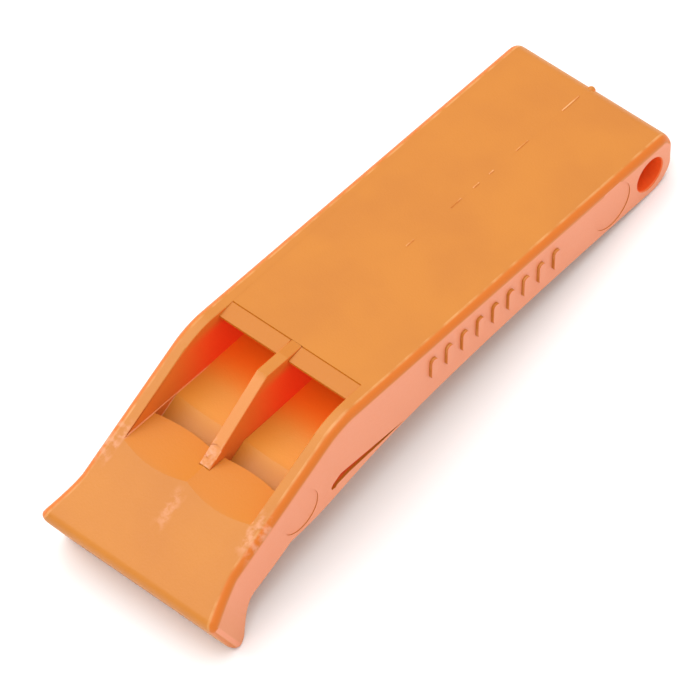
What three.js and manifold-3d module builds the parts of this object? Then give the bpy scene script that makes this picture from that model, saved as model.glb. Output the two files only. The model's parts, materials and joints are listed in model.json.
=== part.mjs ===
// Flat two-tone emergency whistle with no pea: two half shells with a partition plate between them.
// Millimetres. Inside the whistle group +X runs along the flat top towards the lanyard hole, +Y is the
// left side, and z = 0 is the flat top. The group is then tilted, so that the whistle lies on its bite
// lip and its lanyard end, with +Z up and the origin on the surface below the middle of the whistle.

import * as THREE from 'three';
import { mergeVertices } from 'three/addons/utils/BufferGeometryUtils.js';
import Module from 'manifold-3d';

const wasm = await Module();
wasm.setup();

// ---- driving sizes, body ----
const bodyWidth = 18;
const topLength = 41; // from the labium ledge to the lanyard end
const lanyardEndDepth = 5.8; // top to underside at the lanyard end
const undersideFlat = 5; // straight underside at the lanyard end
const undersidePull = 41; // length of the underside that the straight end pulls level
const undersideSwell = 9.6; // length of the swell above the throat
const undersideRise = 0.25; // how far the swell rises over that length
const edgeRadius = 0.7; // round on the edges of both sides
const topEndRadius = 1.5;
const lowEndRadius = 2.8;
const endCornerRadius = 0.8; // round on the corners of the lanyard end, seen from above

// ---- driving sizes, mouthpiece ----
const mouthSlope = THREE.MathUtils.degToRad(30);
const mouthLength = 21.1; // along the slope, from the bend to the front face
const mouthThickness = 5.4;
const undersideBend = 10.55; // along the slope, from the bend to where body and mouthpiece meet below
const ledgeToBend = 4.6; // from the labium ledge to the bend
const bendRadius = 7;
const neckHollow = 0.4; // how much thinner the neck is, just behind the bite lip
const neckFromFront = 4.7;
const lipRise = 1.4; // how far the bite lip stands below the mouthpiece
const lipRadius = 1.2;
const frontEdgeRadius = 0.9;
const flareWidth = 0.95; // extra half width at the front face
const flareLength = 5.2;
const flareBend = 1.4; // 1 is a straight flare, and more bends it outwards later

// ---- driving sizes, air spaces ----
const plateThickness = 1.6;
const wallThickness = 1.65;
const floorDepth = 5.7; // flat top down to the floor under the windows
const farFloorThickness = 1.2; // floor at the far end of the chambers
const floorBreak = 4.6; // from the ledge to where the floor starts to rise
const leftChamberLength = 31;
const rightChamberLength = 27; // the shorter chamber gives the higher tone
const labiumLength = 1.85;
const labiumDrop = 0.35;
const labiumEdge = 0.2;
const labiumTaper = 4.4; // length over which the plate grows to full thickness
const slotLength = 1.55; // windway outlet, along the floor
const slotOffset = 7.75; // from the ledge to the outlet's far edge
const inletRoof = 1.9; // material over the windway's inlet
const inletSole = 1.5; // material under it

// ---- driving sizes, partition, pegs, lanyard hole, side recess and grip ribs ----
const partitionThickness = 1.2;
const partitionSeat = 0.45; // how far the plate reaches past the air spaces
const partitionFront = 1.2; // from the front face back to the plate
const ribRun = 7.6; // length of the rib's sloping edge
const fitGap = 0.3; // clearance between pieces
const holeRadius = 1.75;
const holeToEnd = 3.2;
const holeDrop = 0.2; // hole axis below the middle of the lanyard end
const rearPegRadius = 0.9;
const pegLength = 2.4;
const recessLength = 9.5;
const recessRoof = 0.85; // floor left over the side recess
const recessDepth = 5;
const recessStart = 1.1; // from the bend to the recess's mouth end
const recessSlant = 0.9; // length of the slanted end
const recessSkin = 1.5; // material left under it
const gripCount = 9;
const gripMiddle = 16; // from the labium ledge to the middle grip rib
const gripDepth = 3; // flat top down to the middle of the grip ribs
const gripPitch = 2.1;
const gripWidth = 0.8;
const gripHeight = 2.4;
const gripRise = 0.25;
const gripRoot = 0.4; // how far a grip rib reaches into its wall

const plastic = 0xe8863c;
const plasticDark = 0xe07a34;

// ---- places that follow from the sizes ----
const halfWidth = bodyWidth / 2;
const sideInner = halfWidth - wallThickness;
const seamHalfGap = fitGap / 2;
const halfPartition = partitionThickness / 2;
const neckThickness = mouthThickness - neckHollow;
const lipDepth = mouthThickness + lipRise;
const farFloorDepth = lanyardEndDepth - farFloorThickness;
const holeX = topLength - holeToEnd;
const holeZ = -lanyardEndDepth / 2 - holeDrop;
const reach = 200; // longer than the whistle, for cutters that run past it
const clearAbove = 2; // how far a cutter stands above the flat top

// A point on the mouthpiece: along is measured down the slope from the bend, deep is square to it.
function mouthPoint(along, deep) {
  const x = -ledgeToBend - along * Math.cos(mouthSlope) + deep * Math.sin(mouthSlope);
  const z = -along * Math.sin(mouthSlope) - deep * Math.cos(mouthSlope);
  return new THREE.Vector2(x, z);
}

// A closed outline from corner points, each [point, radius]: a radius above 0 rounds the corner with
// a true arc, drawn with the given number of steps.
function roundedOutline(corners, steps = 6) {
  const points = [];
  corners.forEach(([corner, radius], i) => {
    const before = corners[(i + corners.length - 1) % corners.length][0];
    const after = corners[(i + 1) % corners.length][0];
    const toBefore = before.clone().sub(corner).normalize();
    const toAfter = after.clone().sub(corner).normalize();
    const halfAngle = Math.acos(THREE.MathUtils.clamp(toBefore.dot(toAfter), -1, 1)) / 2;
    if (radius <= 0 || halfAngle > 1.55) {
      points.push(corner.clone());
      return;
    }
    const centre = toBefore.clone().add(toAfter).normalize();
    centre.multiplyScalar(radius / Math.sin(halfAngle)).add(corner);
    const start = toBefore.clone().multiplyScalar(radius / Math.tan(halfAngle)).add(corner);
    const end = toAfter.clone().multiplyScalar(radius / Math.tan(halfAngle)).add(corner);
    const from = start.clone().sub(centre).angle();
    let turn = end.clone().sub(centre).angle() - from;
    if (turn > Math.PI) turn -= 2 * Math.PI;
    if (turn < -Math.PI) turn += 2 * Math.PI;
    for (let s = 0; s <= steps; s += 1) {
      const angle = from + (turn * s) / steps;
      const x = centre.x + radius * Math.cos(angle);
      const z = centre.y + radius * Math.sin(angle);
      points.push(new THREE.Vector2(x, z));
    }
  });
  return points;
}

function solidFrom(geometry) {
  geometry.deleteAttribute('normal');
  geometry.deleteAttribute('uv');
  const merged = mergeVertices(geometry, 1e-4);
  const vertProperties = new Float32Array(merged.attributes.position.array);
  const triVerts = new Uint32Array(merged.index.array);
  return new wasm.Manifold(new wasm.Mesh({ numProp: 3, vertProperties, triVerts }));
}

function geometryFrom(solid) {
  const mesh = solid.getMesh();
  const geometry = new THREE.BufferGeometry();
  geometry.setAttribute('position', new THREE.BufferAttribute(mesh.vertProperties, 3));
  geometry.setIndex(new THREE.BufferAttribute(mesh.triVerts, 1));
  geometry.computeVertexNormals();
  return geometry;
}

// Extrudes an outline in the x-z plane from one y to another; a bevel rounds both end edges.
function sidePrism(points, yFrom, yTo, bevel = 0) {
  const geometry = new THREE.ExtrudeGeometry(new THREE.Shape(points), {
    depth: yTo - yFrom - 2 * bevel,
    steps: 1,
    bevelEnabled: bevel > 0,
    bevelThickness: bevel,
    bevelSize: bevel,
    bevelOffset: -bevel,
    bevelSegments: 3,
  });
  geometry.translate(0, 0, bevel - yTo);
  geometry.rotateX(Math.PI / 2);
  return geometry;
}

function crossRod(x, z, radius, yFrom, yTo, sides = 24) {
  const geometry = new THREE.CylinderGeometry(radius, radius, yTo - yFrom, sides);
  geometry.translate(x, (yFrom + yTo) / 2, z);
  return geometry;
}

// ---- outer form ----

const upperTip = mouthPoint(mouthLength, 0);
const lipCentre = mouthPoint(mouthLength - lipRadius, lipDepth - lipRadius);
const lowEndCentre = new THREE.Vector2(topLength - lowEndRadius, lowEndRadius - lanyardEndDepth);

const throatStart = mouthPoint(undersideBend, mouthThickness);
const bodyUnderside = new THREE.CubicBezierCurve(
  new THREE.Vector2(topLength - undersideFlat, -lanyardEndDepth),
  new THREE.Vector2(topLength - undersideFlat - undersidePull, -lanyardEndDepth),
  throatStart.clone().add(new THREE.Vector2(undersideSwell, undersideRise)),
  throatStart,
);

// Height of the body's underside at a place along the whistle.
function undersideAt(x) {
  const points = bodyUnderside.getPoints(60);
  const next = Math.max(1, points.findIndex((point) => point.x < x));
  const [from, to] = [points[next - 1], points[next]];
  return THREE.MathUtils.mapLinear(x, from.x, to.x, from.y, to.y);
}

function underside() {
  const neck = mouthPoint(mouthLength - neckFromFront, neckThickness);
  const throatPull = mouthPoint((undersideBend + mouthLength - neckFromFront) / 2, mouthThickness);
  const throat = new THREE.QuadraticBezierCurve(throatStart, throatPull, neck);
  const lipBack = mouthPoint(mouthLength - 2 * lipRadius, lipDepth - lipRadius);
  const swell = mouthPoint(mouthLength - 2 * lipRadius, neckThickness);
  const lip = new THREE.QuadraticBezierCurve(neck, swell, lipBack);
  return [...bodyUnderside.getPoints(20), ...throat.getPoints(5).slice(1), ...lip.getPoints(5).slice(1, -1)];
}

function lipRound() {
  const points = [];
  for (let s = 0; s <= 6; s += 1) {
    const angle = (Math.PI * s) / 6;
    const along = mouthLength - lipRadius - lipRadius * Math.cos(angle);
    points.push(mouthPoint(along, lipDepth - lipRadius + lipRadius * Math.sin(angle)));
  }
  return points;
}

function outerOutline() {
  const plain = (points) => points.map((point) => [point, 0]);
  return roundedOutline([
    [new THREE.Vector2(topLength, 0), topEndRadius],
    [new THREE.Vector2(-ledgeToBend, 0), bendRadius],
    [upperTip, frontEdgeRadius],
    ...plain(lipRound().reverse()),
    ...plain(underside().reverse()),
    [new THREE.Vector2(topLength, -lanyardEndDepth), lowEndRadius],
  ]);
}

// Widens the mouthpiece towards its front face.
function flare(geometry) {
  const position = geometry.attributes.position;
  for (let i = 0; i < position.count; i += 1) {
    const dx = -ledgeToBend - position.getX(i);
    const along = dx * Math.cos(mouthSlope) - position.getZ(i) * Math.sin(mouthSlope);
    const share = THREE.MathUtils.clamp((along - mouthLength + flareLength) / flareLength, 0, 1);
    const widen = 1 + (flareWidth / halfWidth) * share ** flareBend;
    position.setY(i, position.getY(i) * widen);
  }
  return geometry;
}

// What the whistle fits in, seen from above: it rounds the corners of the lanyard end.
function planForm() {
  const clearOfFlare = halfWidth + 2 * flareWidth;
  const leftSide = [
    [new THREE.Vector2(topLength, halfWidth), endCornerRadius],
    [new THREE.Vector2(0, halfWidth), 0],
    [new THREE.Vector2(0, clearOfFlare), 0],
    [new THREE.Vector2(-reach, clearOfFlare), 0],
  ];
  const rightSide = leftSide.map(([point, radius]) => [new THREE.Vector2(point.x, -point.y), radius]);
  const outline = roundedOutline([...leftSide, ...rightSide.reverse()]);
  const depth = 2 * reach;
  const geometry = new THREE.ExtrudeGeometry(new THREE.Shape(outline), { depth, bevelEnabled: false });
  geometry.translate(0, 0, -reach);
  return solidFrom(geometry);
}

function outerForm() {
  const outline = outerOutline();
  const stations = [];
  outline.forEach((point, i) => {
    const next = outline[(i + 1) % outline.length];
    stations.push(point);
    const isMouthTop = point.distanceTo(next) > mouthLength / 2 && next.y < -1;
    if (!isMouthTop) return;
    for (let s = 4; s >= 1; s -= 1) {
      const share = 1 - (s * flareLength) / 4 / point.distanceTo(next);
      stations.push(point.clone().lerp(next, share));
    }
  });
  const form = solidFrom(flare(sidePrism(stations, -halfWidth, halfWidth, edgeRadius)));
  return form.intersect(planForm());
}

// ---- air spaces ----

const slotFar = new THREE.Vector2(-slotOffset, -floorDepth);
const slotNear = new THREE.Vector2(-slotOffset - slotLength, -floorDepth);
const inletTop = mouthPoint(mouthLength, inletRoof);
const inletLow = mouthPoint(mouthLength, mouthThickness - inletSole);

function chamberOutline(length) {
  return [
    new THREE.Vector2(length, -farFloorDepth),
    new THREE.Vector2(length, -plateThickness),
    new THREE.Vector2(labiumTaper - labiumLength, -plateThickness),
    new THREE.Vector2(-labiumLength, -labiumDrop - labiumEdge),
    new THREE.Vector2(-labiumLength, -labiumDrop),
    new THREE.Vector2(0, 0),
    new THREE.Vector2(0, clearAbove),
    new THREE.Vector2(-reach, clearAbove),
    new THREE.Vector2(-reach, -floorDepth),
    new THREE.Vector2(-floorBreak, -floorDepth),
  ];
}

function windwayOutline() {
  const past = (near, far) => far.clone().add(far.clone().sub(near).multiplyScalar(0.2));
  const rise = new THREE.Vector2(0, 0.6); // the cut stands proud of the floor, so that it opens
  return [
    slotFar.clone(),
    slotFar.clone().add(rise),
    slotNear.clone().add(rise),
    slotNear.clone(),
    past(slotNear, inletTop),
    past(slotFar, inletLow),
  ];
}

// ---- partition plate ----

function offsetLine(from, to, distance) {
  const direction = to.clone().sub(from).normalize();
  const side = new THREE.Vector2(-direction.y, direction.x).multiplyScalar(distance);
  return [from.clone().add(side), to.clone().add(side)];
}

// The plate's outline, grown by a clearance for the pocket that takes it.
function partitionOutline(grow = 0) {
  const seat = partitionSeat + grow;
  const longest = Math.max(leftChamberLength, rightChamberLength) + seat;
  const top = -plateThickness + seat;
  const ribTop = grow > 0 ? clearAbove : 0;
  const ribSlope = Math.atan2(floorDepth, ribRun);
  const ribLift = grow / Math.cos(ribSlope);
  const tip = new THREE.Vector2(-ledgeToBend - ribRun, -floorDepth);
  const front = (mouthLength - partitionFront + grow) / mouthLength;
  const [roofTop, roofFront] = offsetLine(slotNear, inletTop, -seat);
  const [soleTop, soleFront] = offsetLine(slotFar, inletLow, seat);
  const roof = (share) => roofTop.clone().lerp(roofFront, share);
  const sole = (share) => soleTop.clone().lerp(soleFront, share);
  const frontShare = 1 - (1 - front) * (mouthLength / slotNear.distanceTo(inletTop));
  const ribEnd = tip.clone().add(new THREE.Vector2(-grow, 0));
  const tipShare = (slotNear.x - ribEnd.x) / (slotNear.x - inletTop.x) + 0.02;
  const soleShare = 0.04; // where the tongue's lower edge starts, just outside the outlet
  const ribEdge = [
    new THREE.Vector2(-ledgeToBend - (ribTop - ribLift) / Math.tan(-ribSlope), ribTop),
    new THREE.Vector2(ribEnd.x, -floorDepth + grow),
  ];
  return [
    new THREE.Vector2(longest, top),
    new THREE.Vector2(-fitGap + grow, top),
    new THREE.Vector2(-fitGap + grow, ribTop),
    ...ribEdge,
    roof(tipShare),
    roof(frontShare),
    sole(frontShare),
    sole(soleShare),
    new THREE.Vector2(-floorBreak, -floorDepth - seat),
    new THREE.Vector2(longest, -farFloorDepth - seat),
  ];
}

// ---- half shells ----

// The rear peg stands between the longer chamber and the lanyard hole, and the front one between the
// partition's edge and the underside, where it takes most of the room that is left.
const rearPegX = (Math.max(leftChamberLength, rightChamberLength) + holeX - holeRadius) / 2;
const frontPegX = -ledgeToBend - recessStart;
const frontPegTop = -floorDepth - partitionSeat;
const frontPegRoom = (frontPegTop - undersideAt(frontPegX)) / 2;
const pegs = [
  { x: rearPegX + partitionSeat, z: holeZ, radius: rearPegRadius },
  { x: frontPegX, z: frontPegTop - frontPegRoom, radius: (frontPegRoom - fitGap) * 0.7 },
];

function sideRecess() {
  const bendX = -ledgeToBend - recessStart;
  const roofZ = -floorDepth - recessRoof;
  const foot = undersideAt(bendX) + recessSkin;
  const hook = (roofZ - foot) * 0.3;
  return [
    new THREE.Vector2(bendX + recessLength, roofZ),
    new THREE.Vector2(bendX + recessSlant, roofZ),
    new THREE.Vector2(bendX, foot + hook),
    new THREE.Vector2(bendX, foot),
    new THREE.Vector2(bendX + hook, foot),
  ];
}

function gripRibs(side) {
  const ribs = [];
  const corners = [[1, 1], [-1, 1], [-1, -1], [1, -1]];
  for (let i = 0; i < gripCount; i += 1) {
    const x = gripMiddle + (i - (gripCount - 1) / 2) * gripPitch;
    const outline = roundedOutline(corners.map(([right, up]) => {
      const corner = new THREE.Vector2(x + (right * gripWidth) / 2, -gripDepth + (up * gripHeight) / 2);
      return [corner, gripWidth * 0.45];
    }), 3);
    const inner = side * (halfWidth - gripRoot);
    const outer = side * (halfWidth + gripRise);
    ribs.push(solidFrom(sidePrism(outline, Math.min(inner, outer), Math.max(inner, outer))));
  }
  return ribs;
}

// side is +1 for the left half and -1 for the right one.
function halfShell(side, chamberLength) {
  const across = (from, to) => (side > 0 ? [from, to] : [-to, -from]);
  const cut = (points, from, to) => solidFrom(sidePrism(points, ...across(from, to)));
  const slab = new THREE.BoxGeometry(reach, reach, reach);
  slab.translate(0, side * (reach / 2 + seamHalfGap), 0);
  let shell = outerForm().intersect(solidFrom(slab));
  shell = shell.subtract(cut(chamberOutline(chamberLength), -1, sideInner));
  shell = shell.subtract(cut(windwayOutline(), -1, sideInner));
  shell = shell.subtract(cut(partitionOutline(fitGap), -1, halfPartition + fitGap));
  shell = shell.subtract(cut(sideRecess(), halfWidth - recessDepth, halfWidth + 2));
  shell = shell.subtract(solidFrom(crossRod(holeX, holeZ, holeRadius, -reach, reach, 32)));
  const hasPegs = side > 0;
  pegs.forEach(({ x, z, radius }) => {
    const grow = hasPegs ? 0 : fitGap;
    const rod = solidFrom(crossRod(x, z, radius + grow, -pegLength - grow, 1));
    shell = hasPegs ? shell.add(rod) : shell.subtract(rod);
  });
  gripRibs(side).forEach((rib) => {
    shell = shell.add(rib);
  });
  return geometryFrom(shell);
}

function partition() {
  return geometryFrom(solidFrom(sidePrism(partitionOutline(), -halfPartition, halfPartition)));
}

// ---- assembly ----

function plasticMaterial(color) {
  return new THREE.MeshStandardMaterial({ color, roughness: 0.38, metalness: 0 });
}

function piece(name, geometry, color) {
  const mesh = new THREE.Mesh(geometry, plasticMaterial(color));
  mesh.name = name;
  return mesh;
}

const whistle = new THREE.Group();
whistle.add(piece('left_half_shell', halfShell(1, leftChamberLength), plastic));
whistle.add(piece('right_half_shell', halfShell(-1, rightChamberLength), plastic));
whistle.add(piece('centre_partition', partition(), plasticDark));

// The surface touches the round of the bite lip and the round under the lanyard end.
const span = lowEndCentre.clone().sub(lipCentre);
const restTilt = Math.atan2(span.y, span.x) + Math.asin((lipRadius - lowEndRadius) / span.length());
whistle.rotation.y = restTilt;

const part = new THREE.Group();
part.add(whistle);
part.updateMatrixWorld(true);
const bounds = new THREE.Box3().setFromObject(part, true);
whistle.position.x = -(bounds.min.x + bounds.max.x) / 2;
whistle.position.z = -bounds.min.z;
part.updateMatrixWorld(true);

export default part;
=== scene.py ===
"""A flat two-tone emergency whistle, moulded in orange plastic: two half shells and a partition plate.

The whistle is drawn level and in millimetres, with x along its flat top and 0 at the front edge of the
top plate, y across and z = 0 on the flat top. One matrix then lays each finished piece in the frame.
"""

import json
import math

import bmesh
import bpy
from mathutils import Matrix, Vector
from mathutils.geometry import interpolate_bezier


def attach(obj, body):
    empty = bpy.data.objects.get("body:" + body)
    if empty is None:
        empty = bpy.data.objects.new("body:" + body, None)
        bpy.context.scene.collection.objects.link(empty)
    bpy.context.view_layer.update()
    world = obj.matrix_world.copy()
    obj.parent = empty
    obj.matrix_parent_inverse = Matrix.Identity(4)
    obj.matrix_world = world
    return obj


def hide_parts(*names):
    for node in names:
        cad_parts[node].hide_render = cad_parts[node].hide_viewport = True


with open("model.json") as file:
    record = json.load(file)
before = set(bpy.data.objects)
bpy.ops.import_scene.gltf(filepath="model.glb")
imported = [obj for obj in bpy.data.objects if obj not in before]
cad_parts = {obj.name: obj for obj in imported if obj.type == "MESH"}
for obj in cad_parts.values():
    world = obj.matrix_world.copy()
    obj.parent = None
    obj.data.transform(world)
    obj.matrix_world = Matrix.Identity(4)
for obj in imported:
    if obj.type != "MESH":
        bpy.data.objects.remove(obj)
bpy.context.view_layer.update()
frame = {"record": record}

# ---- How the whistle lies ----
# It rests on its bite lip and its lanyard end. The mount on its flat top gives the lean and the height,
# and the mounts on its sides give its width.
mm = 0.001
mounts = {mount["name"]: mount for mount in frame["record"]["mounts"]}
top_axis = Vector(mounts["flat_top_face"]["axis"])
top_mount_place = (20, 4.5, 0)  # the mount's place on the level whistle
lean = math.atan2(top_axis.x, top_axis.z)
laid_down = (
    Matrix.Translation(mounts["flat_top_face"]["pos_m"])
    @ Matrix.Rotation(lean, 4, "Y")
    @ Matrix.Scale(mm, 4)
    @ Matrix.Translation(-Vector(top_mount_place))
)
half_width = mounts["left_side_face"]["pos_m"][1] / mm


# ---- Outer form ----
# Both half shells share one outer form: a flat body, a mouthpiece sloping down from it and a bite lip.
# It is injection moulded, so every outside edge is rounded and the mouthpiece flares a little.
top_length = 41
lanyard_end_depth = 5.8
mouth_slope = math.radians(30)
mouth_length = 21.1
mouth_thickness = 5.4
ledge_to_bend = 4.6
lip_depth = 6.8
lip_radius = 1.2
neck_thickness = 5.0
neck_from_front = 4.7
lip_pull = 3.7  # from the front face to the place that the lip's curve bends towards
lip_sweep = (50, 180)
underside_flat = 5
underside_pull = 46  # from the lanyard end to the place that the long curve bends towards
underside_bend = 10.55
throat_pull = Vector((9.6, 0.25))
lanyard_top_radius = 1.5
lanyard_low_radius = 2.8
top_bend_radius = 7
bite_edge_radius = 1.0
flare_width = 1.3
flare_length = 5.2
flare_bend = 1.3  # 1 is a straight flare, and more bends it outwards later
flare_steps = 8
corner_steps = 8
upper_edge_radius = 0.85
lower_edge_radius = 0.3
end_corner_radius = 0.4
mouth_corner_radius = 0.9


def mouth_point(along, deep):
    """A point on the mouthpiece: along the slope from the bend, and square to it from the top."""
    x = -ledge_to_bend - along * math.cos(mouth_slope) + deep * math.sin(mouth_slope)
    z = -along * math.sin(mouth_slope) - deep * math.cos(mouth_slope)
    return Vector((x, z))


def bow(start, pull, end, count):
    """Points on a curve from start to end, bent towards pull."""
    handles = [start.lerp(pull, 2 / 3), end.lerp(pull, 2 / 3)]
    return interpolate_bezier(start, *handles, end, count)


def outline(points, rounds=None, arc_steps=10):
    """A flat face in the x-z plane. rounds gives the radius of each corner that is rounded."""
    shape = bmesh.new()
    corners = [shape.verts.new((x, 0, z)) for x, z in points]
    shape.faces.new(corners)
    for index, radius in (rounds or {}).items():
        corner = corners[index]
        arms = [edge.other_vert(corner).co - corner.co for edge in corner.link_edges]
        reach = radius / math.tan(arms[0].angle(arms[1]) / 2)
        bmesh.ops.bevel(
            shape, geom=[corner], offset=reach, offset_type="OFFSET", segments=arc_steps,
            profile=0.5, affect="VERTICES", material=-1,
        )
    return shape


def across(shape, y_from, y_to, steps=1):
    """A closed body: a flat outline carried across the whistle, in a number of steps."""
    bmesh.ops.translate(shape, verts=shape.verts, vec=(0, y_from, 0))
    grown = bmesh.ops.extrude_face_region(shape, geom=shape.faces[:])["geom"]
    moved = [item for item in grown if isinstance(item, bmesh.types.BMVert)]
    bmesh.ops.translate(shape, verts=moved, vec=(0, y_to - y_from, 0))
    for step in range(1, steps):
        everything = shape.verts[:] + shape.edges[:] + shape.faces[:]
        place = (0, y_from + (y_to - y_from) * step / steps, 0)
        bmesh.ops.bisect_plane(shape, geom=everything, dist=1e-5, plane_co=place, plane_no=(0, 1, 0))
    bmesh.ops.recalc_face_normals(shape, faces=shape.faces)
    return shape


def outer_outline():
    """The side view of the whole whistle."""
    far_low = Vector((top_length, -lanyard_end_depth))
    throat_start = mouth_point(underside_bend, mouth_thickness)
    body = interpolate_bezier(
        far_low - Vector((underside_flat, 0)), far_low - Vector((underside_pull, 0)),
        throat_start + throat_pull, throat_start, 40,
    )
    neck = mouth_point(mouth_length - neck_from_front, neck_thickness)
    middle_of_throat = (underside_bend + mouth_length - neck_from_front) / 2
    throat = bow(body[-1], mouth_point(middle_of_throat, mouth_thickness), neck, 12)
    lip_round = []
    for step in range(13):
        angle = math.radians(lip_sweep[0] + (lip_sweep[1] - lip_sweep[0]) * step / 12)
        along = mouth_length - lip_radius + lip_radius * math.cos(math.pi - angle)
        lip_round.append(mouth_point(along, lip_depth - lip_radius + lip_radius * math.sin(angle)))
    lip = bow(neck, mouth_point(mouth_length - lip_pull, neck_thickness), lip_round.pop(0), 12)
    corners = [Vector((top_length, 0)), Vector((-ledge_to_bend, 0)), mouth_point(mouth_length, 0)]
    corners += lip_round[::-1] + lip[::-1] + throat[-2::-1] + body[-2::-1] + [far_low]
    return outline(corners, {
        0: lanyard_top_radius, 1: top_bend_radius, 2: bite_edge_radius, len(corners) - 1: lanyard_low_radius,
    })


def sliced(shape, place, square_to):
    """Cuts the faces of a shape along a plane, and leaves both sides of it."""
    everything = shape.verts[:] + shape.edges[:] + shape.faces[:]
    bmesh.ops.bisect_plane(shape, geom=everything, dist=1e-4, plane_co=place, plane_no=square_to)


def rounded_side(form, side, steps=7):
    """Rounds the edge of one flat side, widely where it faces up and only a little where it faces down."""
    cap = next(face for face in form.faces if face.normal.y * side > 0.99)
    corners = [vert.co.copy() for vert in cap.verts]
    inward = []
    for before, corner, after in zip(corners[-1:] + corners[:-1], corners, corners[1:] + corners[:1]):
        from_before = cap.normal.cross((corner - before).normalized())
        from_after = cap.normal.cross((after - corner).normalized())
        inward.append((from_before + from_after) / (1 + from_before.dot(from_after)))
    for step in range(steps + 1):
        if step:
            grown = bmesh.ops.extrude_face_region(form, geom=[cap])["geom"]
            bmesh.ops.delete(form, geom=[cap], context="FACES_ONLY")
            cap = next(item for item in grown if isinstance(item, bmesh.types.BMFace))
        turn = math.pi / 2 * step / steps
        for vert, corner, inner in zip(cap.verts, corners, inward):
            facing_up = min(max(0.5 - inner.normalized().z, 0), 1)
            radius = lower_edge_radius + (upper_edge_radius - lower_edge_radius) * facing_up ** 2
            vert.co = corner + inner * radius * (1 - math.cos(turn))
            vert.co.y = corner.y - side * radius * (1 - math.sin(turn))


def corner_inset(past_end, radius):
    """How far a corner rounded in plan lies inside the side line, near its end."""
    past_start = min(max(past_end + radius, 0), radius)
    return radius - math.sqrt(radius ** 2 - past_start ** 2)


def outer_form():
    """The whole outside in one closed body, with its edges rounded, its end corners and its flare."""
    form = across(outer_outline(), -half_width, half_width)
    for side in (1, -1):
        rounded_side(form, side)
    direction = mouth_point(1, 0) - mouth_point(0, 0)
    flare_places = [flare_length * step / flare_steps for step in range(2, flare_steps + 1)]
    corner_shares = [1 - math.sin(step * math.pi / 2 / corner_steps) for step in range(corner_steps)]
    for before_front in flare_places + [mouth_corner_radius * share for share in corner_shares]:
        down_slope = mouth_point(mouth_length - before_front, 0)
        sliced(form, (down_slope.x, 0, down_slope.y), (direction.x, 0, direction.y))
    for share in corner_shares:
        sliced(form, (top_length - end_corner_radius * share, 0, 0), (1, 0, 0))
    for vert in form.verts:
        along = (-ledge_to_bend - vert.co.x) * math.cos(mouth_slope) - vert.co.z * math.sin(mouth_slope)
        share = min(max((along - mouth_length + flare_length) / flare_length, 0), 1)
        grown = half_width + flare_width * share ** flare_bend
        grown -= corner_inset(along - mouth_length, mouth_corner_radius)
        grown -= corner_inset(vert.co.x - top_length, end_corner_radius)
        vert.co.y *= grown / half_width
    return form


def combined(body, tool, how):
    """One closed body from two, both used up. how is DIFFERENCE, UNION or INTERSECT."""
    pair = []
    for shape in (body, tool):
        mesh = bpy.data.meshes.new("work")
        shape.to_mesh(mesh)
        shape.free()
        pair.append(bpy.data.objects.new("work", mesh))
        bpy.context.scene.collection.objects.link(pair[-1])
    boolean = pair[0].modifiers.new("work", "BOOLEAN")
    boolean.object = pair[1]
    boolean.operation = how
    boolean.solver = "MANIFOLD"
    result = bmesh.new()
    result.from_object(pair[0], bpy.context.evaluated_depsgraph_get())
    for work in pair:
        mesh = work.data
        bpy.data.objects.remove(work)
        bpy.data.meshes.remove(mesh)
    return result


# ---- Air spaces ----
# Each half shell holds one whistle: a windway from the front face, its outlet slot under the window, the
# thin labium strip at the ledge, and a chamber behind it. Moulding leaves crisp edges and a little flash.
wall_thickness = 1.65
side_inner = half_width - wall_thickness
left_chamber_length = 31
right_chamber_length = 27
plate_thickness = 1.6
floor_depth = 5.7
far_floor_thickness = 1.2
floor_break = 4.6
labium_length = 1.85
labium_drop = 0.35
labium_edge = 0.2
labium_taper = 4.4
crease = 0.08
slot_offset = 7.6
slot_length = 2.05
slot_corner = 0.85
inlet_roof = 1.9
inlet_sole = 1.5
floor_reach = 16
floor_crown = 0.36
window_steps = 14
above_top = 1.0  # how far the window's cut stands above the flat top
into_floor = 0.6  # how far the windway's cut stands in the room over the floor
past_front = 1.2  # how far it reaches, where 1 is the way from its slot to the front face
past_middle = 0.1  # how far both cuts go past the middle, where the half shells meet
at_place = 0.1  # within this of a place, a vertex counts as lying on it
slot_far = Vector((-slot_offset, -floor_depth))
slot_near = Vector((-slot_offset - slot_length, -floor_depth))
inlet_top = mouth_point(mouth_length, inlet_roof)
inlet_low = mouth_point(mouth_length, mouth_thickness - inlet_sole)


def across_share(place, side):
    """How far from the middle of an air space a place is: 0 in its middle and 1 at its walls."""
    return abs(2 * (place.y + side * past_middle) / (side * side_inner + side * past_middle) - 1)


def chamber(side, length):
    """The chamber and its window, standing a little above the flat top."""
    far_floor = far_floor_thickness - lanyard_end_depth
    space = outline([
        (length, far_floor), (length, -plate_thickness),
        (labium_taper - labium_length, -plate_thickness),
        (-labium_length, -labium_drop - labium_edge), (-labium_length, -labium_drop),
        (-1.5 * crease, -crease * 0.5), (-0.6 * crease, -1.6 * crease), (0, 0), (0, above_top),
        (-floor_reach, above_top), (-floor_reach, -floor_depth), (-floor_break, -floor_depth),
    ])
    space = across(space, -side * past_middle, side * side_inner, window_steps)
    for vert in space.verts:
        if vert.co.x < -floor_reach + at_place and vert.co.z < 0:
            vert.co.z -= floor_crown * (1 - across_share(vert.co, side) ** 2)
    return space


def windway(side):
    """The windway, from its outlet slot in the floor to past the front face. Its near edge is bowed."""
    proud = Vector((0, into_floor))
    space = outline([
        slot_far, slot_far + proud, slot_near + proud, slot_near,
        slot_near.lerp(inlet_top, past_front), slot_far.lerp(inlet_low, past_front),
    ])
    space = across(space, -side * past_middle, side * side_inner, window_steps)
    for vert in space.verts:
        near_edge = vert.co.x < slot_near.x + at_place and vert.co.z > -floor_depth - at_place
        if near_edge:
            vert.co.x -= slot_corner * across_share(vert.co, side) ** 2
    return space


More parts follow.
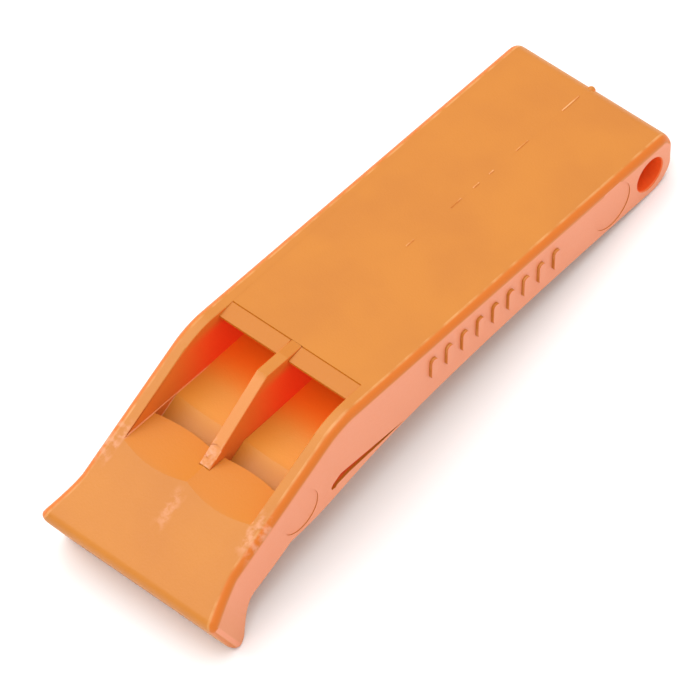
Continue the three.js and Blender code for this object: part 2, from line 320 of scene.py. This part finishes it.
# ---- Half shells ----
# Two mouldings that meet on the middle of the whistle and are welded there over two pegs. The weld shows
# as a broken bright line on the flat top. Both are safety-orange polypropylene, satin and a little clear.
joint_line = 0.03
seam_gap = 0.0015
partition_half = 0.6
partition_seat = 0.45
partition_front = 1.2
rib_run = 7.6
rib_slope = math.atan2(floor_depth, rib_run)
past_tip = 0.02  # where the plate's roof starts behind the rib's tip, as a share of the windway
sole_start = 0.04  # where its sole starts, as a share of the windway

hole_radius = 1.75
hole_place = Vector((top_length - 3.2, -lanyard_end_depth / 2 - 0.2))
hole_round = 0.25

pegs = [(Vector((33.97, -3.1)), 0.9), (Vector((-5.7, -7.7)), 0.8)]
peg_length = 2.4
peg_root = 1

recess_corners = [
    (3.9, -6.85), (-4.6, -6.45), (-5.5, -6.95), (-5.85, -7.3), (-5.75, -7.7), (-5.3, -7.75),
    (-5.0, -7.5), (-3.4, -7.25), (0.6, -7.1),
]
recess_rounds = {1: 0.3, 3: 0.2, 4: 0.2, 6: 0.3}
recess_sole_slope = 0.147  # the line under the recess, for its colour: rise along, and height at x = 0
recess_sole_height = -7.85
recess_depth = 5

grip_count = 9
grip_middle = 16
grip_depth = 3
grip_pitch = 2.1
grip_width = 0.85
grip_height = 2.4
grip_rise = 0.3
grip_root = 0.4
grip_end_round = 0.45 * grip_width
grip_edge_round = 0.12

weld_marks = [(14.6, 16), (20.6, 22.5), (23.8, 25), (26, 27), (29.7, 31.8), (36.2, 39)]
weld_mark_place = 0.15
weld_mark_width = 0.12
weld_mark_rise = 0.05
weld_mark_root = 0.1
weld_mark_taper = 0.25
gate_place = (40.4, 0.05, -0.5)
gate_radius = 0.42

flash_radius = 0.09
flash_length = 11
flash_middle = -8.6
rim_round = 0.12
rim_start = -0.2
rim_bend_reach = 2.5
rim_bend_depth = 1.6

ejector_marks = [(Vector((32.4, -2.8)), 2.5), (Vector((-9.9, -6.9)), 2.3)]
ejector_mark_depth = 0.07

slab_size = 100
beyond = 1  # how far a cut goes past the face that it opens
touching = 0.01  # within this of a face or an edge, a vertex counts as lying on it
crease_angle = math.radians(19)  # an edge that turns more than this is drawn sharp

grain_height = 0.02 * mm
dark_orange = (191, 114, 25)
light_orange = (197, 120, 27)
ledge_orange = (190, 110, 0)
# painted reflection: the flat sides paler and pinker, as if they reflected the white table
side_painted_reflection = (230, 140, 98)
# painted shade: the rounded edges darker and more saturated, where they reflect less of the white room
edge_painted_shade = (208, 106, 0)
patch_orange = (200, 116, 8)
# painted light in the windows: floor and walls redder and brighter, for light that comes through the thin
# walls and bounces between them
floor_painted_glow = (212, 138, 40)
deep_floor_painted_glow = (240, 104, 16)
wall_painted_glow = (232, 124, 44)
deep_wall_painted_glow = (246, 60, 26)
# painted light: the inside of the lanyard hole and of the side slots redder, for light that bounces inside
# them
hole_painted_glow = (254, 104, 36)
recess_painted_glow = (252, 112, 56)
# painted highlight: broken pale glints along the rounded edges
edge_painted_highlight = (240, 184, 124)
weld_orange = (246, 186, 128)
# painted highlight along the flash at the foot of the window walls
foot_painted_highlight = (244, 170, 120)
rib_orange = (218, 138, 74)
scuff_orange = (232, 168, 136)

edge_highlight_share = 0.3  # how strongly the paler and the scuffed colours show, from 0 to 1
weld_share = 0.6
foot_highlight_share = 0.6
rib_share = 0.6
scuff_share = 0.55

floor_glow = (0.2, 0.03, 0.002, 1)  # the light that comes through the thin walls
wall_glow = (0.14, 0.014, 0.003, 1)
smooth_roughness = 0.36
grain_roughness = 0.14  # what the matt grain and the scuffs each add to it
scuff_roughness = 0.2
grain_strength = 0.7
scuff_relief = 3  # how much higher a scuff stands than the grain
cloud_scale = 0.12
grain_scale = 4.5
break_scale = 0.5
smudge_scale = 1.3

ledge_start = (-labium_length - 0.1, -labium_length + 0.05)  # from here on, stretches over which
ledge_end = (-0.1, 0)  # a colour comes or goes along the whistle, in the order they are used
floor_start = (-floor_reach, -14)
deep_floor_start = (-5.2, 0.5)
deep_wall_start = (-9.5, -0.5)
recess_start = (-6.1, -5.9)
recess_end = (4.0, 4.1)
foot_start = (-14.6, -14)
foot_end = (-4, -3)
streak_start = (-19.5, -17.5)
streak_end = (-15.6, -14.8)
wall_end_start = (-17.5, -15.5)
wall_end_end = (-14.2, -12.5)
rib_scuff_end = (-11.4, -9.5)
patch_end = (-9.5, -8.5)
rib_front_stop = (-5.2, -4.4)
inner_floor_start = (-9, -7)
glow_end = (3, 8)


def shifted(start, end, distance):
    """The line from start to end, moved sideways."""
    along = (end - start).normalized()
    sideways = Vector((-along.y, along.x)) * distance
    return start + sideways, end + sideways


def partition_outline(grow=0):
    """The side view of the partition plate. grow is the clearance of the pocket that takes it."""
    seat = partition_seat + grow
    longest = left_chamber_length + seat
    top = seat - plate_thickness
    rib_top = beyond if grow > 0 else 0
    tip = Vector((-ledge_to_bend - rib_run - grow, -floor_depth))
    roof = shifted(slot_near, inlet_top, -seat)
    sole = shifted(slot_far, inlet_low, seat)
    front = 1 - (partition_front - grow) / (inlet_top - slot_near).length
    tip_share = (slot_near.x - tip.x) / (slot_near.x - inlet_top.x) + past_tip
    return [
        (longest, top), (-joint_line + grow, top), (-joint_line + grow, rib_top),
        (-ledge_to_bend + (rib_top - grow / math.cos(rib_slope)) / math.tan(rib_slope), rib_top),
        tip + Vector((0, grow)), roof[0].lerp(roof[1], tip_share), roof[0].lerp(roof[1], front),
        sole[0].lerp(sole[1], front), sole[0].lerp(sole[1], sole_start),
        (-floor_break, -floor_depth - seat), (longest, far_floor_thickness - lanyard_end_depth - seat),
    ]


def rod(place, radius, y_from, y_to, sides=64):
    """A closed round bar across the whistle."""
    bar = bmesh.new()
    turn = Matrix.Translation((place.x, (y_from + y_to) / 2, place.y)) @ Matrix.Rotation(math.pi / 2, 4, "X")
    bmesh.ops.create_cone(
        bar, cap_ends=True, segments=sides, radius1=radius, radius2=radius,
        depth=abs(y_to - y_from), matrix=turn,
    )
    bmesh.ops.recalc_face_normals(bar, faces=bar.faces)
    return bar


def side_recess(side):
    """The slot that the mould leaves in each side, under the floor of the windows."""
    recess = outline(recess_corners, recess_rounds, 4)
    return across(recess, side * (half_width - recess_depth), side * (half_width + beyond))


def eased(shape, edges, radius, clamped=True):
    """Takes the sharpness off some edges."""
    bmesh.ops.bevel(
        shape, geom=edges, offset=radius, offset_type="OFFSET", segments=3,
        profile=0.5, affect="EDGES", material=-1, clamp_overlap=clamped,
    )


def grip_rib(side, x):
    """One of the upright ribs on the side wall, with a round end above and below."""
    rib = outline([
        (x + right * grip_width / 2, up * grip_height / 2 - grip_depth)
        for right, up in ((1, 1), (-1, 1), (-1, -1), (1, -1))
    ], dict.fromkeys(range(4), grip_end_round))
    rib = across(rib, side * (half_width - grip_root), side * (half_width + grip_rise))
    outer = [edge for edge in rib.edges if all(abs(v.co.y) > half_width for v in edge.verts)]
    eased(rib, outer, grip_edge_round, clamped=False)
    return rib


def marked_form():
    """The outer form with the broken ridge of the weld on its flat top, and the stub of the gate."""
    form = outer_form()
    for start, end in weld_marks:
        ridge = outline([
            (start, -weld_mark_root), (end, -weld_mark_root),
            (end - weld_mark_taper, weld_mark_rise), (start + weld_mark_taper, weld_mark_rise),
        ])
        ridge = across(ridge, weld_mark_place - weld_mark_width / 2, weld_mark_place + weld_mark_width / 2)
        form = combined(form, ridge, "UNION")
    stub = bmesh.new()
    stub_place = Matrix.Translation(gate_place)
    bmesh.ops.create_icosphere(stub, subdivisions=3, radius=gate_radius, matrix=stub_place)
    return combined(form, stub, "UNION")


def flash(side):
    """The thin ridge of flash at the foot of a window wall."""
    flash_place = Matrix.Translation((flash_middle, side * side_inner, -floor_depth))
    lie = Matrix.Rotation(math.pi / 2, 4, "Y")
    ridge = bmesh.new()
    bmesh.ops.create_cone(
        ridge, cap_ends=True, segments=12, radius1=flash_radius, radius2=flash_radius / 2,
        depth=flash_length, matrix=flash_place @ lie,
    )
    return ridge


def window_rims(shell):
    """The edges where the inside of a side wall meets the outside, from the ledge down to the mouthpiece."""
    def on_rim(vert):
        on_wall = abs(abs(vert.co.y) - side_inner) < touching
        on_top = abs(vert.co.z) < touching and vert.co.x < rim_start
        above = (-ledge_to_bend - vert.co.x) * math.sin(mouth_slope) + vert.co.z * math.cos(mouth_slope)
        on_mouth = abs(above) < touching
        on_bend = abs(vert.co.x + ledge_to_bend) < rim_bend_reach and vert.co.z > -rim_bend_depth
        return on_wall and (on_top or on_mouth or on_bend)
    return [edge for edge in shell.edges if all(on_rim(vert) for vert in edge.verts)]


def hole_rim(shell):
    """The edge round the lanyard hole on the outside of a shell."""
    def on_rim(vert):
        from_axis = (vert.co.xz - hole_place).length
        return abs(from_axis - hole_radius) < 2 * touching and abs(vert.co.y) > half_width - 2 * touching
    return [edge for edge in shell.edges if all(on_rim(vert) for vert in edge.verts)]


def half_shell(side, chamber_length):
    """One half shell, drawn level. side is 1 for the left one and -1 for the right one."""
    slab = bmesh.new()
    slab_place = Matrix.Translation((0, side * (slab_size / 2 + seam_gap), 0))
    bmesh.ops.create_cube(slab, size=slab_size, matrix=slab_place)
    shell = combined(marked_form(), slab, "INTERSECT")
    shell = combined(shell, chamber(side, chamber_length), "DIFFERENCE")
    shell = combined(shell, windway(side), "DIFFERENCE")
    pocket = across(
        outline(partition_outline(joint_line)), -side * beyond, side * (partition_half + joint_line),
    )
    shell = combined(shell, pocket, "DIFFERENCE")
    shell = combined(shell, side_recess(side), "DIFFERENCE")
    bore = rod(hole_place, hole_radius, -2 * half_width, 2 * half_width)
    shell = combined(shell, bore, "DIFFERENCE")
    shell = combined(shell, flash(side), "UNION")
    eased(shell, window_rims(shell), rim_round)
    eased(shell, hole_rim(shell), hole_round)
    for place, radius in pegs:
        if side > 0:
            peg = rod(place, radius, peg_root, -peg_length, sides=32)
            shell = combined(shell, peg, "UNION")
        else:
            socket = rod(place, radius + joint_line, beyond, -peg_length - joint_line, sides=32)
            shell = combined(shell, socket, "DIFFERENCE")
    for place, radius in ejector_marks:
        mark_floor = side * (half_width - ejector_mark_depth)
        mark = rod(place, radius, mark_floor, side * (half_width + beyond), sides=96)
        shell = combined(shell, mark, "DIFFERENCE")
    for count in range(grip_count):
        x = grip_middle + (count - (grip_count - 1) / 2) * grip_pitch
        shell = combined(shell, grip_rib(side, x), "UNION")
    return shell


def finished(shape, name, finish, node):
    """Lays a drawn piece in the frame as an object that rides with the whistle and stands for a CAD node."""
    bmesh.ops.transform(shape, matrix=laid_down, verts=shape.verts)
    for face in shape.faces:
        face.smooth = True
    for edge in shape.edges:
        edge.smooth = edge.calc_face_angle(0) < crease_angle
    mesh = bpy.data.meshes.new(name)
    shape.to_mesh(mesh)
    shape.free()
    mesh.materials.append(finish.material)
    piece = bpy.data.objects.new(name, mesh)
    bpy.context.scene.collection.objects.link(piece)
    weighted = piece.modifiers.new("even shading", "WEIGHTED_NORMAL")
    weighted.keep_sharp = True
    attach(piece, "root")
    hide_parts(node)


class Value:
    """A number that changes over a surface, and takes part in sums as a plain number does."""

    def __init__(self, finish, socket):
        self.finish = finish
        self.socket = socket

    def __add__(self, other):
        return self.finish.math("ADD", self, other)

    def __sub__(self, other):
        return self.finish.math("SUBTRACT", self, other)

    def __rsub__(self, other):
        return self.finish.math("SUBTRACT", other, self)

    def __mul__(self, other):
        return self.finish.math("MULTIPLY", self, other)

    __radd__ = __add__
    __rmul__ = __mul__


class Finish:
    """A material, and the ways to add nodes to it."""

    def __init__(self, name):
        self.material = bpy.data.materials.new(name)
        self.material.use_nodes = True
        self.tree = self.material.node_tree
        self.surface = self.tree.nodes["Principled BSDF"]

    def feed(self, socket, value):
        if isinstance(value, Value):
            self.tree.links.new(value.socket, socket)
        else:
            socket.default_value = value

    def node(self, kind, settings=None, inputs=None, output=0):
        made = self.tree.nodes.new(kind)
        for name, value in (settings or {}).items():
            setattr(made, name, value)
        for name, value in (inputs or {}).items():
            self.feed(made.inputs[name], value)
        return Value(self, made.outputs[output])

    def math(self, operation, *values):
        return self.node("ShaderNodeMath", {"operation": operation}, dict(enumerate(values)))

    def rise(self, value, low, high):
        """0 where value is below low and 1 where it is above high, and smooth between them."""
        inputs = {"Value": value, "From Min": low, "From Max": high}
        return self.node("ShaderNodeMapRange", {"interpolation_type": "SMOOTHSTEP"}, inputs)

    def fall(self, value, low, high):
        """1 where value is below low and 0 where it is above high, and smooth between them."""
        return 1 - self.rise(value, low, high)

    def band(self, value, start, end):
        """1 between two places. start and end each give the stretch over which it comes and goes."""
        return self.rise(value, *start) * self.fall(value, *end)

    def size(self, value):
        """A value without its sign."""
        return self.math("ABSOLUTE", value)

    def part(self, vector, axis):
        """The x, y or z of a vector, for axis 0, 1 or 2."""
        return self.node("ShaderNodeSeparateXYZ", None, {0: vector}, output=axis)

    def blend(self, share, first, second):
        """first where share is 0 and second where it is 1; both are colours."""
        inputs = {0: share, 6: first, 7: second}
        return self.node("ShaderNodeMix", {"data_type": "RGBA"}, inputs, output=2)

    def noise(self, place, scale, detail):
        inputs = {"Vector": place, "Scale": scale, "Detail": detail}
        return self.node("ShaderNodeTexNoise", None, inputs)


def colour(red, green, blue):
    """A colour given as on a paint chart, from 0 to 255, in the linear values that a shader takes."""
    shares = [value / 255 for value in (red, green, blue)]
    return [s / 12.92 if s < 0.04 else ((s + 0.055) / 1.055) ** 2.4 for s in shares] + [1]


class Plastic(Finish):
    """A finish that knows where each place lies on the level whistle, and which way it faces."""

    def __init__(self, name):
        super().__init__(name)
        metres = self.node("ShaderNodeTexCoord", output=3)
        self.level = self.node("ShaderNodeMapping", {"vector_type": "TEXTURE"}, {
            "Vector": metres, "Location": laid_down.translation,
            "Rotation": (0, lean, 0), "Scale": (mm, mm, mm),
        })
        self.along, self.aside, self.up = (self.part(self.level, axis) for axis in range(3))
        self.outward = self.size(self.aside)
        normal = self.node("ShaderNodeTexCoord", output=1)
        dot_product = {"operation": "DOT_PRODUCT"}
        self.facing = self.node("ShaderNodeVectorMath", dot_product, {0: normal, 1: top_axis}, output=1)
        self.sideways = self.size(self.part(normal, 1))
        self.upwards = self.rise(self.facing, 0.1, 0.4)
        self.upright = self.rise(self.sideways, 0.5, 0.9)
        self.between_walls = self.fall(self.outward, side_inner + 0.02, side_inner + 0.08)
        self.over_walls = self.rise(self.outward, side_inner + 0.4, side_inner + 0.6)
        self.side_wall = self.rise(self.outward, half_width - 0.6, half_width - 0.3)
        self.side_wall *= self.rise(self.sideways, 0.9, 0.99)


def outside_tints(plastic):
    """The tints of the ledge, of the flat sides and of the rounded edges, each with where it lies. The flat
    sides carry a painted reflection of the white table, and the rounded edges painted shade where they
    reflect less of it.
    """
    ledge = plastic.between_walls * plastic.band(plastic.along, ledge_start, ledge_end)
    ledge *= plastic.rise(plastic.up, -0.5, -0.45)
    round_edge = plastic.over_walls * plastic.band(plastic.sideways, (0.1, 0.45), (0.85, 0.98))
    return [(ledge, ledge_orange), (plastic.side_wall, side_painted_reflection), (round_edge, edge_painted_shade)]


def window_depths(plastic):
    """Where the floor and the walls of the windows run back under the top. Their tints are painted light:
    redder and brighter, for the light that comes through the thin walls and bounces between them.
    """
    floor = plastic.between_walls * plastic.upwards * plastic.rise(plastic.along, *floor_start)
    floor *= plastic.fall(plastic.up, -floor_depth + 0.1, -floor_depth + 0.5)
    wall = plastic.between_walls * plastic.upright
    deep_floor = floor * plastic.rise(plastic.along, *deep_floor_start)
    deep_wall = wall * plastic.rise(plastic.along, *deep_wall_start) * plastic.fall(plastic.up, -2, -0.4)
    return floor, deep_floor, wall, deep_wall


def hole_and_recess(plastic):
    """Where the inside of the lanyard hole and of the slots in the sides lie. Their tints are painted light:
    redder, for the light that bounces inside them and comes through the plastic.
    """
    on_side = plastic.node("ShaderNodeCombineXYZ", None, {0: plastic.along, 2: plastic.up})
    axis = (hole_place.x, 0, hole_place.y)
    distance = {"operation": "DISTANCE"}
    from_axis = plastic.node("ShaderNodeVectorMath", distance, {0: on_side, 1: axis}, output=1)
    in_hole = plastic.fall(from_axis, hole_radius, hole_radius + 0.12)
    above_sole = plastic.up - (plastic.along * recess_sole_slope + recess_sole_height)
    in_recess = plastic.rise(above_sole, 0, 0.15) * plastic.fall(plastic.up, -6.45, -6.3)
    in_recess *= plastic.band(plastic.along, recess_start, recess_end)
    in_recess *= plastic.fall(plastic.outward, half_width - 0.35, half_width - 0.1)
    return in_hole, in_recess


def pale_marks(plastic):
    """Painted highlights as broken pale lines along the edges and a pale line along the flash at the foot of
    the walls, and the broken pale line on the weld.
    """
    broken = plastic.rise(plastic.noise(plastic.level, break_scale, 6.0), 0.36, 0.66)
    # painted highlight: broken pale glints along the rounded edges of the top
    edge_line = plastic.band(plastic.sideways, (0.03, 0.1), (0.22, 0.4))
    edge_line *= plastic.over_walls * (1 - plastic.side_wall)
    weld = plastic.fall(plastic.size(plastic.aside - weld_mark_place), 0.05, 0.1)
    weld *= plastic.rise(plastic.up, 0.005, 0.02)
    # painted highlight: a pale line where the flash at the foot of the window walls catches the light
    foot = plastic.fall(plastic.size(plastic.outward - side_inner), 0.06, 0.12)
    foot *= plastic.upwards * plastic.fall(plastic.up, -floor_depth + 0.1, -floor_depth + 0.2)
    foot *= plastic.band(plastic.along, foot_start, foot_end)
    return [
        (edge_line * broken * edge_highlight_share, edge_painted_highlight),
        (weld * broken * weld_share, weld_orange),
        (foot * foot_highlight_share, foot_painted_highlight),
    ]


def scuffs(plastic, rib_front):
    """Where the whistle is scuffed: on the mouthpiece, at the ends of its walls and at the rib's foot."""
    smudge = plastic.rise(plastic.noise(plastic.level, smudge_scale, 6.0), 0.4, 0.7)
    streak = plastic.fall(plastic.size(plastic.aside + 0.1), 0.2, 0.9)
    streak *= plastic.upwards * plastic.band(plastic.along, streak_start, streak_end)
    wall_end = plastic.rise(plastic.outward, side_inner - 0.2, side_inner + 0.2) * plastic.upwards
    wall_end *= plastic.band(plastic.along, wall_end_start, wall_end_end) * (1 - plastic.side_wall)
    rib_end = rib_front * plastic.fall(plastic.along, *rib_scuff_end)
    scuffed = plastic.math("MAXIMUM", streak * 0.7, wall_end)
    return plastic.math("MAXIMUM", scuffed, rib_end * 1.4) * smudge


def orange_plastic(name):
    """Safety-orange polypropylene with a fine matt grain, redder where light comes through from inside."""
    plastic = Plastic(name)
    floor, deep_floor, wall, deep_wall = window_depths(plastic)
    patch = floor * plastic.rise(plastic.facing, 0.94, 0.98) * plastic.fall(plastic.along, *patch_end)
    in_hole, in_recess = hole_and_recess(plastic)
    rib_front = plastic.fall(plastic.outward, partition_half + 0.01, partition_half + 0.06)
    rib_front *= plastic.rise(plastic.up, -floor_depth - 0.02, -floor_depth + 0.04)
    rib_front *= (1 - plastic.upright) * plastic.fall(plastic.along, *rib_front_stop)
    scuffed = scuffs(plastic, rib_front)
    tints = outside_tints(plastic) + [
        (patch, patch_orange),
        (floor * plastic.rise(plastic.along, *inner_floor_start), floor_painted_glow),
        (deep_floor, deep_floor_painted_glow),
        (wall, wall_painted_glow),
        (deep_wall, deep_wall_painted_glow),
        (in_hole, hole_painted_glow),
        (in_recess, recess_painted_glow),
    ]
    tints += pale_marks(plastic)
    tints += [(rib_front * rib_share, rib_orange), (scuffed * scuff_share, scuff_orange)]

    clouds = plastic.rise(plastic.noise(plastic.level, cloud_scale, 3.0), 0.3, 0.7)
    body = plastic.blend(clouds, colour(*dark_orange), colour(*light_orange))
    for share, tint in tints:
        body = plastic.blend(share, body, colour(*tint))
    plastic.feed(plastic.surface.inputs["Base Color"], body)

    # painted glow: the deep floor and walls of the windows give off light of their own, for the light that
    # comes through the thin walls
    near_window = plastic.fall(plastic.along, *glow_end)
    glow = plastic.blend(deep_floor * near_window, (0, 0, 0, 1), floor_glow)
    glow = plastic.blend(deep_wall * near_window, glow, wall_glow)
    plastic.feed(plastic.surface.inputs["Emission Color"], glow)
    plastic.feed(plastic.surface.inputs["Emission Strength"], 1)

    grain = plastic.noise(plastic.level, grain_scale, 3.0)
    roughness = smooth_roughness + grain * grain_roughness + scuffed * scuff_roughness
    plastic.feed(plastic.surface.inputs["Roughness"], roughness)
    height = grain + scuffed * scuff_relief
    relief = {"Height": height, "Strength": grain_strength, "Distance": grain_height}
    plastic.feed(plastic.surface.inputs["Normal"], plastic.node("ShaderNodeBump", None, relief))
    return plastic


shell_finish = orange_plastic("orange_shell")
left_shell = half_shell(1, left_chamber_length)
finished(left_shell, "left_shell", shell_finish, "left_half_shell")
right_shell = half_shell(-1, right_chamber_length)
finished(right_shell, "right_shell", shell_finish, "right_half_shell")


# ---- Centre partition ----
# A flat plate held between the half shells. It parts the two air spaces, and its front edge shows as
# the rib between the windows, cut off roughly at its foot.
rib_round = 0.12
rib_front_end = -12.5
crescent_radius = 0.75
crescent_depth = 0.1
crescent_place = 1.15  # from the rib's tip to the middle of the cut, along the whistle
cutter_height = 2


def on_rib(edge):
    """Whether an edge runs along the top or the slope of the rib, on either side of it."""
    first, second = (vert.co for vert in edge.verts)
    lengthways = abs(first.y - second.y) < touching
    above_floor = min(first.z, second.z) > -floor_depth - touching
    between_ends = max(first.x, second.x) < 0 and min(first.x, second.x) > rib_front_end
    return lengthways and above_floor and between_ends


partition = across(outline(partition_outline()), -partition_half, partition_half)
eased(partition, [edge for edge in partition.edges if on_rib(edge)], rib_round)
rib_foot = Vector((
    -ledge_to_bend - rib_run + crescent_place, 0, -floor_depth + crescent_place * math.tan(rib_slope),
))
cutter_place = (
    Matrix.Translation(rib_foot)
    @ Matrix.Rotation(-rib_slope, 4, "Y")
    @ Matrix.Translation((0, 0, cutter_height / 2 - crescent_depth))
)
cutter = bmesh.new()
bmesh.ops.create_cone(
    cutter, cap_ends=True, segments=48, radius1=crescent_radius, radius2=crescent_radius,
    depth=cutter_height, matrix=cutter_place,
)
partition = combined(partition, cutter, "DIFFERENCE")
finished(partition, "partition", orange_plastic("orange_partition"), "centre_partition")


# ---- Table, light and camera ----
# A table top of plain white paper in a bright room, with a wide soft lamp overhead and a smaller soft
# box at the left side, towards the mouthpiece. The camera looks down at the right side, over the mouth.
table_half = 3
paper_white = (0.97, 0.97, 0.97, 1)
paper_roughness = 0.7
room_brightness = 0.85
lamps = [
    ("overhead", (0.08, 0.15, 1.0), 1.3, 7.5),
    ("soft_box", (-0.2, 0.55, 0.5), 0.5, 1.3),
]
camera_lens = 324.2
camera_sensor = 36
camera_distance = 0.5496
camera_target = Vector((-4.24, -2.33, 8.71)) * mm
azimuth, elevation, roll = (math.radians(angle) for angle in (-40.58, 56.12, -11.0))

table_top = bpy.data.meshes.new("table_top")
board = bmesh.new()
bmesh.ops.create_grid(board, x_segments=1, y_segments=1, size=table_half)
board.to_mesh(table_top)
board.free()
paper = Finish("white_paper")
paper.feed(paper.surface.inputs["Base Color"], paper_white)
paper.feed(paper.surface.inputs["Roughness"], paper_roughness)
table_top.materials.append(paper.material)
table = bpy.data.objects.new("table_top", table_top)
bpy.context.scene.collection.objects.link(table)

room = bpy.data.worlds.new("room")
room.use_nodes = True
background = room.node_tree.nodes["Background"]
background.inputs["Color"].default_value = (1, 1, 1, 1)
background.inputs["Strength"].default_value = room_brightness
bpy.context.scene.world = room


def turned_to(place, target, roll=0):
    """The matrix that sets something at place, looking at target."""
    look = (Vector(target) - Vector(place)).to_track_quat("-Z", "Y").to_matrix().to_4x4()
    return Matrix.Translation(place) @ look @ Matrix.Rotation(roll, 4, "Z")


for name, place, width, power in lamps:
    light = bpy.data.lights.new(name, "AREA")
    light.shape = "DISK"
    light.size = width
    light.energy = power
    lamp = bpy.data.objects.new(name, light)
    lamp.matrix_world = turned_to(place, (0, 0, 0))
    bpy.context.scene.collection.objects.link(lamp)

lens = bpy.data.cameras.new("camera")
lens.lens = camera_lens
lens.sensor_width = camera_sensor
lens.clip_start = 0.05
backwards = Vector((
    math.sin(azimuth) * math.cos(elevation), -math.cos(azimuth) * math.cos(elevation), math.sin(elevation),
))
camera = bpy.data.objects.new("camera", lens)
camera.matrix_world = turned_to(camera_target + backwards * camera_distance, camera_target, roll)
bpy.context.scene.collection.objects.link(camera)
bpy.context.scene.camera = camera
bpy.context.scene.view_settings.view_transform = "Standard"
